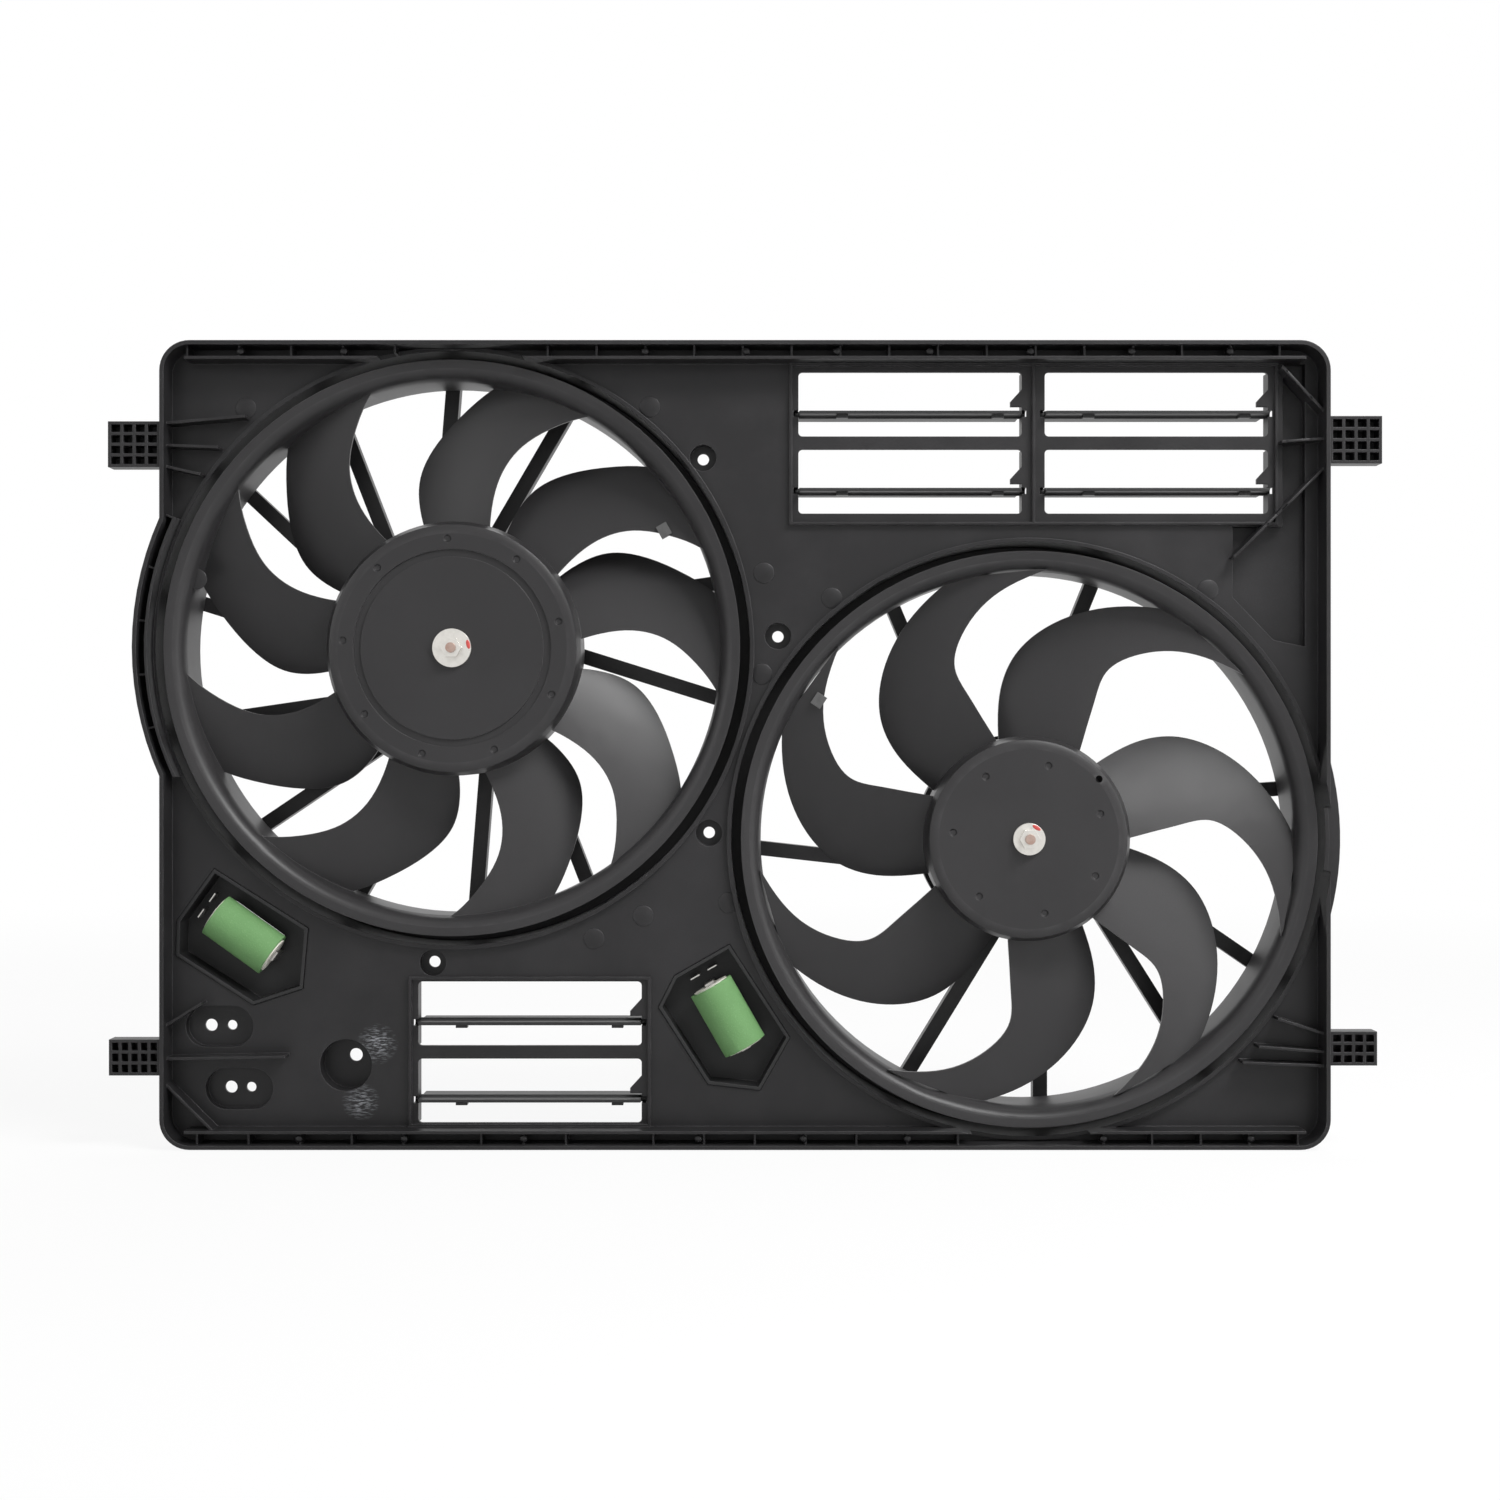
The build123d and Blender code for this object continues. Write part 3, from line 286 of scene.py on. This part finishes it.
def plastic(name, colour, dust, dust_amount=0.3, edge_wear=0.4, cloud_size=14.0, grain_size=1500.0, roughness=0.5,
            bump=0.04, radius=0.0007, specular=0.4, scuffs=()):
    """A moulded plastic; scuffs are pairs of a middle and a reach."""
    material, tree, shader = principled(name)
    edge = add_node(tree, "ShaderNodeGroup", {"node_tree": soft_edge}, Radius=radius)
    skin = add_node(tree, "ShaderNodeGroup", {"node_tree": moulded}, Colour=(*colour, 1), Dust=(*dust, 1),
                    Dust_amount=dust_amount, Edge=edge.outputs["Edge"], Edge_wear=edge_wear, Cloud_size=cloud_size,
                    Grain_size=grain_size, Roughness=roughness)
    relief = add_node(tree, "ShaderNodeBump", Strength=bump, Distance=0.0004, Height=skin.outputs["Height"],
                      Normal=edge.outputs["Normal"])
    tone = skin.outputs["Colour"]
    for middle, reach in scuffs:
        rubbed = add_node(tree, "ShaderNodeGroup", {"node_tree": scuff}, Middle=middle, Reach=reach)
        tone = blend(tree, rubbed.outputs["Mask"], tone, scuff_colour)
    feed(tree, shader, Base_Color=tone, Roughness=skin.outputs["Roughness"], Normal=relief.outputs["Normal"])
    shader.inputs["Specular IOR Level"].default_value = specular
    return material


# A plastic's fifth value is its edge wear, which also paints a pale highlight along its edges.
materials = {
    "shroud_plastic": plastic("shroud_plastic", (0.013, 0.0125, 0.0133), (0.11, 0.107, 0.112), 0.22, 0.75,
                              roughness=0.38, specular=0.3, scuffs=scuff_spots),
    "fan_plastic": plastic("fan_plastic", (0.026, 0.0252, 0.0262), (0.13, 0.126, 0.130), 0.16, 0.6,
                           cloud_size=7.0, roughness=0.36, radius=0.0005, specular=0.28),
    "flap_plastic": plastic("flap_plastic", (0.012, 0.012, 0.0125), (0.06, 0.06, 0.06), roughness=0.4),
    "carrier_plastic": plastic("carrier_plastic", (0.010, 0.010, 0.0105), (0.05, 0.05, 0.05), roughness=0.45),
    "card_plastic": plastic("card_plastic", (0.10, 0.055, 0.03), (0.2, 0.17, 0.14), roughness=0.6),
    "inlet_plastic": plastic("inlet_plastic", (0.012, 0.012, 0.012), (0.06, 0.06, 0.06), roughness=0.35),
}
print("plastics:", len(materials))

# %% [markdown]
# Metals
#
# Zinc plating is bright and a little cloudy, with fine rubbed lines; ground steel has finer lines; painted
# steel is nearly plastic to the eye. One group makes cloud and fine lines, and the values do the rest.

# %% Metal surface
metal_skin, metal_in, metal_out = new_group(
    "metal_surface",
    {"Colour": (0.5, 0.5, 0.5, 1), "Stain": (0.2, 0.15, 0.1, 1), "Stain amount": 0.3, "Roughness": 0.35},
    {"Colour": (0, 0, 0, 1), "Roughness": 0.4, "Height": 0.0},
)
metal_place = object_place(metal_skin)
stain = noise(metal_skin, metal_place, 160.0, 5.0, 0.65)
stain_share = combine(metal_skin, "MULTIPLY", remap(metal_skin, stain, 0.45, 0.75), metal_in.outputs["Stain amount"])
stained = blend(metal_skin, stain_share, metal_in.outputs["Colour"], metal_in.outputs["Stain"])
stain_roughness = 0.25
metal_rough = combine(metal_skin, "MULTIPLY_ADD", stain, stain_roughness, metal_in.outputs["Roughness"], clamp=True)
feed(metal_skin, metal_out, Colour=stained, Roughness=metal_rough, Height=noise(metal_skin, metal_place, 2600.0, 2.0))
# %% [markdown]
# One function for all metals
#
# Each metal places the soft edge and the surface group in its own material. Paint, ferrite and carbon have the
# same stains but aren't metallic, so they take the same function with the metallic value at zero.


# %% Metal materials
def metal(name, colour, stain_colour=(0.12, 0.10, 0.08), amount=0.35, roughness=0.2, metallic=1.0, bump=0.05):
    """A metal, or a dull surface with the same stains where metallic is zero."""
    material, tree, shader = principled(name)
    edge = add_node(tree, "ShaderNodeGroup", {"node_tree": soft_edge}, Radius=0.0003)
    skin = add_node(tree, "ShaderNodeGroup", {"node_tree": metal_skin}, Colour=(*colour, 1),
                    Stain=(*stain_colour, 1), Stain_amount=amount, Roughness=roughness)
    relief = add_node(tree, "ShaderNodeBump", Strength=bump, Distance=0.0002, Height=skin.outputs["Height"],
                      Normal=edge.outputs["Normal"])
    feed(tree, shader, Base_Color=skin.outputs["Colour"], Roughness=skin.outputs["Roughness"],
         Normal=relief.outputs["Normal"])
    shader.inputs["Metallic"].default_value = metallic
    return material


materials |= {
    "zinc_steel": metal("zinc_steel", (0.72, 0.70, 0.66), amount=0.2, roughness=0.18),
    "shaft_steel": metal("shaft_steel", (0.48, 0.36, 0.31), (0.22, 0.08, 0.05), 0.5, 0.25),
    "core_steel": metal("core_steel", (0.30, 0.30, 0.31)),
    "bearing_steel": metal("bearing_steel", (0.60, 0.60, 0.61), roughness=0.15),
    "clip_steel": metal("clip_steel", (0.12, 0.12, 0.12), (0.05, 0.05, 0.05), 0.4, 0.35),
    "strap_steel": metal("strap_steel", (0.62, 0.61, 0.58), roughness=0.25),
    "cap_steel": metal("cap_steel", (0.50, 0.50, 0.50)),
    "tin_plate": metal("tin_plate", (0.68, 0.67, 0.64), roughness=0.25),
    "can_paint": metal("can_paint", (0.02, 0.02, 0.02), (0.06, 0.06, 0.06), 0.3, 0.35, metallic=0.0),
    "copper_wire": metal("copper_wire", (0.62, 0.26, 0.13), (0.3, 0.10, 0.05), 0.3, 0.25),
    "commutator_copper": metal("commutator_copper", (0.72, 0.38, 0.24), (0.2, 0.10, 0.06), 0.4, 0.25),
    "ferrite": metal("ferrite", (0.045, 0.045, 0.048), (0.08, 0.08, 0.08), 0.3, 0.5, metallic=0.0),
    "carbon": metal("carbon", (0.03, 0.03, 0.03), (0.07, 0.07, 0.07), 0.3, 0.4, metallic=0.0),
}
print("materials so far:", len(materials))

# %% [markdown]
# The resistors' coat
#
# The green coat is a matt ceramic cement over a wire winding. It has a fine crumbly grain, small darker
# pits and paler rubbed spots. The core's end that shows is bare white ceramic, a little dirty.


# %% Coated and bare ceramic
def ceramic(name, colour, dark, pale, roughness, bump, grain_size):
    """A matt, crumbly surface with darker clouds and paler grains."""
    material, tree, shader = principled(name)
    place = object_place(tree)
    fine = noise(tree, place, grain_size, 4.0, 0.7)
    tone = blend(tree, noise(tree, place, 60.0, 5.0, 0.6), (*dark, 1), (*colour, 1))
    coat = blend(tree, remap(tree, fine, 0.55, 0.8, to_high=0.6), tone, (*pale, 1))
    relief = add_node(tree, "ShaderNodeBump", Strength=bump, Distance=0.0006, Height=fine)
    feed(tree, shader, Base_Color=coat, Normal=relief.outputs["Normal"])
    shader.inputs["Roughness"].default_value = roughness
    return material


materials["resistor_coat"] = ceramic("resistor_coat", (0.155, 0.325, 0.125), (0.115, 0.255, 0.09),
                                     (0.24, 0.42, 0.20), 0.75, 0.35, 900.0)
materials["resistor_ceramic"] = ceramic("resistor_ceramic", (0.78, 0.76, 0.70), (0.62, 0.59, 0.52),
                                        (0.86, 0.85, 0.80), 0.6, 0.15, 1200.0)
print("materials:", len(materials))

# %% [markdown]
# Hanging the materials on the CAD nodes
#
# The record says which finish each node has, so the loop only looks it up.

# %% Assign materials
slots = {entry["node"]: entry["material_slot"] for entry in frame["record"]["subparts"]}
for name, node_object in nodes.items():
    node_object.data.materials.clear()
    node_object.data.materials.append(materials[slots[name]])
print("nodes dressed:", len(slots))

# %% [markdown]
# Smooth curves
#
# The fans and their barrels are the largest curved surfaces in view. The CAD mesh has separate flat triangles; a
# copy with its doubles merged can be shaded smooth up to a chosen angle, which leaves the real corners crisp. Long thin
# triangles on a flat face would drag the shading of a rounded edge across it, so the Weighted Normal modifier
# lets the large faces decide.


# %% Smooth copies of curved nodes
crease_angle = radians(35)
flat_angle = radians(0.5)
same_point, sliver = 1e-5, 4e-5


def deselect_all():
    """Leaves edit mode and selects nothing."""
    if bpy.context.object and bpy.context.object.mode != "OBJECT":
        bpy.ops.object.mode_set(mode="OBJECT")
    bpy.ops.object.select_all(action="DESELECT")


def make_active(piece):
    """Makes a piece the only selected one and the active one."""
    deselect_all()
    piece.select_set(True)
    bpy.context.view_layer.objects.active = piece


def edit_all(piece):
    """Opens a piece in edit mode with all of it selected."""
    make_active(piece)
    bpy.ops.object.mode_set(mode="EDIT")
    bpy.ops.mesh.select_all(action="SELECT")


def merged_copy(name):
    """A copy of a CAD node with its loose triangles merged."""
    copy = bpy.data.objects.new(f"{name}_smooth", nodes[name].data.copy())
    bpy.context.scene.collection.objects.link(copy)
    make_active(copy)
    if copy.data.has_custom_normals:
        bpy.ops.mesh.customdata_custom_splitnormals_clear()
    edit_all(copy)
    bpy.ops.mesh.remove_doubles(threshold=same_point)
    bpy.ops.object.mode_set(mode="OBJECT")
    return copy


def smooth_shade(piece, merge):
    """Drops slivers and needless edges, then shades smooth up to the crease angle."""
    edit_all(piece)
    bpy.ops.mesh.remove_doubles(threshold=merge)
    bpy.ops.mesh.dissolve_degenerate(threshold=merge)
    bpy.ops.mesh.dissolve_limited(angle_limit=flat_angle)
    bpy.ops.mesh.normals_make_consistent(inside=False)
    bpy.ops.object.mode_set(mode="OBJECT")
    bpy.ops.object.shade_smooth_by_angle(angle=crease_angle)
    weigh = piece.modifiers.new("weigh", "WEIGHTED_NORMAL")
    weigh.mode = "FACE_AREA_WITH_ANGLE"
    weigh.weight = 75
    weigh.keep_sharp = True
    bpy.ops.object.modifier_apply(modifier=weigh.name)


def smooth_copy(name):
    """A merged, smooth-shaded copy that stands for a CAD node."""
    copy = merged_copy(name)
    smooth_shade(copy, sliver)
    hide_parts(name)
    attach(copy, nodes[name]["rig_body"])
    return copy


smooth_pieces = [smooth_copy(f"{side}_{part}") for side in ("left", "right")
                 for part in ("rotor", "barrel", "resistor_coil", "hub_nut", "motor_can")]
deselect_all()
print("smooth copies:", len(smooth_pieces))

# %% [markdown]
# One moulding again
#
# The CAD model parts the shroud's face along straight seams, which a real moulding doesn't have. Copies of the
# sections are joined with the Boolean modifier, whose exact solver removes the walls between them.

# %% Join the sections of the shroud
sections = ("shroud_panel", "shroud_left_panel", "shroud_right_panel", "upper_window_frame", "lower_window_frame",
            "shroud_rim", "upper_left_tab", "upper_right_tab", "lower_left_tab", "lower_right_tab")
shroud_face = merged_copy(sections[0])
shroud_face.name = "shroud_face"
for section in sections[1:]:
    neighbour = merged_copy(section)
    make_active(shroud_face)
    join = shroud_face.modifiers.new("join", "BOOLEAN")
    join.operation, join.solver, join.object = "UNION", "EXACT", neighbour
    bpy.ops.object.modifier_apply(modifier=join.name)
    bpy.data.objects.remove(neighbour)
smooth_shade(shroud_face, same_point)
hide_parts(*sections)
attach(shroud_face, "shroud")
print("joined sections:", len(sections), "faces:", len(shroud_face.data.polygons))

# %% [markdown]
# Ball bosses on the rails
#
# Along the rails, every second cross rib carries a small round boss where an ejector pin pushed. One low dome
# is modelled: a sphere is flattened and its rear half is cut away with a bisect. Each place gets its own copy.


# %% A small dome and its copies
def place_copies(model, name, places):
    """Copies a piece modelled at the origin to each place on the shroud, with the place in the mesh."""
    for number, place in enumerate(places, start=1):
        copy = bpy.data.objects.new(f"{name}_{number}", model.data.copy())
        copy.data.transform(Matrix.Translation(Vector(place) * mm))
        bpy.context.scene.collection.objects.link(copy)
        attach(copy, "shroud")
    bpy.data.objects.remove(model)
    print(f"{name}: {len(places)}")


def flat_dome(radius, height):
    """A low dome that bulges towards the camera, modelled from half a sphere."""
    deselect_all()
    bpy.ops.mesh.primitive_uv_sphere_add(segments=20, ring_count=10, radius=radius * mm)
    dome = bpy.context.object
    edit_all(dome)
    bpy.ops.transform.resize(value=(1, height / radius, 1))
    bpy.ops.mesh.bisect(plane_co=(0, 0, 0), plane_no=(0, 1, 0), clear_outer=True, use_fill=True)
    bpy.ops.object.mode_set(mode="OBJECT")
    bpy.ops.object.shade_smooth_by_angle(angle=radians(40))
    return dome


rail_height, rail_front_depth = 237.2, 5.9
boss_radius, boss_height = 2.3, 1.3
boss_columns = {
    1: (-304.0, -241.8, -60.2, 0.8, 55.4, 111.3, 172.0, 232.9, 292.3),
    -1: (-268.9, -205.4, -133.5, -28.2, 35.2, 97.9, 216.0, 304.8),
}
balls = [(x, rail_front_depth, side * rail_height) for side, columns in boss_columns.items() for x in columns]
ball = flat_dome(boss_radius, boss_height)
ball.data.materials.append(materials["shroud_plastic"])
place_copies(ball, "ball_boss", balls)

# %% [markdown]
# Ejector marks
#
# The floor of the shroud shows faint raised discs where ejector pins met the hot plastic. They are a fraction
# of a millimetre high, so a disc with a bevelled edge is enough: the light finds the step.

# %% Ejector discs
def soften_edges(offset):
    """Bevels all edges of the piece being edited, ends edit mode and shades the piece smooth."""
    bpy.ops.mesh.bevel(offset=offset * mm, segments=2, affect="EDGES")
    bpy.ops.object.mode_set(mode="OBJECT")
    bpy.ops.object.shade_smooth_by_angle(angle=radians(50))


disc_radius, disc_thickness, disc_depth = 6.3, 0.7, 21.95
deselect_all()
bpy.ops.mesh.primitive_cylinder_add(vertices=40, radius=disc_radius * mm, depth=disc_thickness * mm,
                                    rotation=(pi / 2, 0, 0))
disc = bpy.context.object
bpy.ops.object.transform_apply(location=False, rotation=True, scale=False)
edit_all(disc)
soften_edges(0.22)
disc.data.materials.append(materials["shroud_plastic"])
floor_marks = [(11.5, 104.8), (52.9, 89.6), (10.3, 43.3), (282.0, 94.5), (-58.0, 206.0), (-304.0, 205.0),
               (-334.0, 101.0), (-10.0, -96.0), (-62.0, -104.0), (-92.0, -118.0)]
place_copies(disc, "ejector_mark", [(x, disc_depth, z) for x, z in floor_marks])

# %% [markdown]
# Ribs across the valley
#
# Beside the right edge, stiffening ribs run on across the sunk valley. A rib is a thin bar with softened edges:
# a cube is scaled to the length between its two ends in edit mode, and a bevel rounds its long edges.


# %% Valley ribs
def valley_rib(name, start, end, front=8.0, back=28.6, thickness=1.6):
    """A straight bar between two X, Z places, from one depth to another."""
    start, end = Vector(start), Vector(end)
    run, middle = end - start, (start + end) / 2
    deselect_all()
    bpy.ops.mesh.primitive_cube_add(size=1)
    rib = bpy.context.object
    rib.name = name
    edit_all(rib)
    bpy.ops.transform.resize(value=(run.length * mm, (back - front) * mm, thickness * mm))
    soften_edges(0.3)
    rib.data.transform(Matrix.Rotation(Vector((1, 0)).angle_signed(run), 4, "Y"))
    rib.data.transform(Matrix.Translation(Vector((middle.x, (front + back) / 2, middle.y)) * mm))
    rib.data.materials.append(materials["shroud_plastic"])
    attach(rib, "shroud")


rib_ends = [((326.5, 226.3), (342.5, 208.8)), ((326.5, 183.4), (342.5, 184.5)),
            ((342.5, 160.3), (321.0, 139.0)), ((321.0, 139.0), (296.5, 114.9))]
for number, (start, end) in enumerate(rib_ends, start=1):
    valley_rib(f"valley_rib_{number}", start, end)
print("valley ribs:", len(rib_ends))

# %% [markdown]
# Paint marks on the nuts
#
# After tightening, each hub nut gets a dab of red paint on its flange as proof. A dab is a drop that has
# flattened and run a little, so it starts as a low dome and is stretched along the flange's edge.

# %% Red paint dabs
paint_dab, dab_tree, dab_shader = principled("paint_dab")
dab_tone = blend(dab_tree, noise(dab_tree, object_place(dab_tree), 900.0, 3.0), (0.42, 0.03, 0.025, 1),
                 (0.62, 0.10, 0.09, 1))
feed(dab_tree, dab_shader, Base_Color=dab_tone)
dab_shader.inputs["Roughness"].default_value = 0.35
dab_angles = {"left": 12.0, "right": 58.0}
dab_radius, dab_height, dab_stretch = 1.5, 0.5, (0.8, 1.0, 1.9, 1.0)
flange_thickness = 2.4
for side, angle in dab_angles.items():
    flange_low, flange_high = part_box(f"{side}_hub_nut")
    flange_radius = (flange_high[0] - flange_low[0]) / 2
    drop = flat_dome(dab_radius, dab_height)
    drop.name = f"{side}_paint_dab"
    drop.data.materials.append(paint_dab)
    drop.data.transform(Matrix.Diagonal(dab_stretch))
    drop.data.transform(Matrix.Rotation(-radians(angle), 4, "Y"))
    spot = round_fan(side, flange_radius - dab_radius * mm, angle, flange_high[1] - flange_thickness * mm)
    drop.data.transform(Matrix.Translation(spot))
    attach(drop, f"fan_{side}")
print("paint dabs:", len(dab_angles))

# %% [markdown]
# Studio
#
# The floor and the backdrop are pale for the light that falls on them, but read as white to the camera and in
# reflections. Near the object the floor keeps its shadow, and it fades to plain white farther off.


# %% Floor and backdrop
def seen_rays(tree):
    """1 for rays that the camera sees directly, in a reflection or through glass, 0 for light falling on things."""
    rays = add_node(tree, "ShaderNodeLightPath").outputs
    direct = combine(tree, "MAXIMUM", rays["Is Camera Ray"], rays["Is Transmission Ray"])
    return combine(tree, "MAXIMUM", direct, rays["Is Glossy Ray"])


shadow_reach, white_reach = 0.6, 2.6


def stage_material(name, colour, near_share):
    """A pale surface, white by a share near the object that grows to all of it farther off."""
    material, tree, shader = principled(name)
    shader.inputs["Base Color"].default_value = (*colour, 1)
    shader.inputs["Roughness"].default_value = 0.9
    distance = add_node(tree, "ShaderNodeVectorMath", {"operation": "LENGTH"}, i0=object_place(tree))
    fade = remap(tree, distance.outputs["Value"], shadow_reach, white_reach, near_share, 1.0, "SMOOTHSTEP")
    white = add_node(tree, "ShaderNodeEmission", Color=(1, 1, 1, 1), Strength=1.0)
    mixed = add_node(tree, "ShaderNodeMixShader", i0=combine(tree, "MULTIPLY", seen_rays(tree), fade),
                     i1=shader.outputs["BSDF"], i2=white.outputs["Emission"])
    feed(tree, tree.nodes["Material Output"], Surface=mixed.outputs["Shader"])
    return material


stage_size, backdrop_distance, floor_gap = 14, 3.8, 0.0005
bpy.ops.mesh.primitive_plane_add(size=stage_size, location=(0, 0, cad_box[0].z - floor_gap))
floor = bpy.context.object
floor.name = "floor"
floor.data.materials.append(stage_material("floor_white", (0.86, 0.86, 0.86), 0.9))
bpy.ops.mesh.primitive_plane_add(size=stage_size, location=(0, backdrop_distance, 0), rotation=(pi / 2, 0, 0))
backdrop = bpy.context.object
backdrop.name = "backdrop"
backdrop.data.materials.append(stage_material("backdrop_white", (0.9, 0.9, 0.9), 1.0))
print("stage:", floor.name, backdrop.name)

# %% [markdown]
# Light
#
# The world gives a weak even light and is white where it is seen. The broad key lamp above, in front and to the
# right rakes over the ribs. Weaker lamps from the sides and from below keep the pockets readable, and one from
# behind draws the upper edges.

# %% World and lamps
world_light = 0.2
world = bpy.data.worlds.new("studio")
bpy.context.scene.world = world
world.use_nodes = True
world_tree = world.node_tree
background = world_tree.nodes["Background"]
feed(world_tree, background, Strength=remap(world_tree, seen_rays(world_tree), 0.0, 1.0, world_light))
background.inputs["Color"].default_value = (1, 1, 1, 1)


def softbox(name, place, target, size, watts):
    """A rectangular lamp at a place, turned to a target."""
    lamp = bpy.data.lights.new(name, "AREA")
    lamp.shape = "RECTANGLE"
    lamp.size, lamp.size_y = size
    lamp.energy = watts
    holder = bpy.data.objects.new(name, lamp)
    holder.location = place
    holder.rotation_euler = (Vector(target) - Vector(place)).to_track_quat("-Z", "Y").to_euler()
    bpy.context.scene.collection.objects.link(holder)


lamps = {
    "key_light": ((0.95, -0.95, 1.35), (0.1, 0, 0.05), (1.0, 0.5), 40),
    "right_light": ((1.5, -0.9, 0.3), (0.2, 0, 0), (0.4, 0.9), 5),
    "left_light": ((-1.4, -0.9, 0.5), (-0.1, 0, 0), (0.3, 0.8), 3),
    "low_light": ((-0.2, -1.2, -0.9), (0, 0, -0.1), (1.6, 0.3), 2.5),
    "rim_light": ((0.2, 1.2, 1.4), (0, 0.05, 0), (2.0, 0.6), 10),
}
for name, (place, target, size, watts) in lamps.items():
    softbox(name, place, target, size, watts)
bpy.context.scene.view_settings.view_transform = "Standard"
print("lamps:", len(lamps))
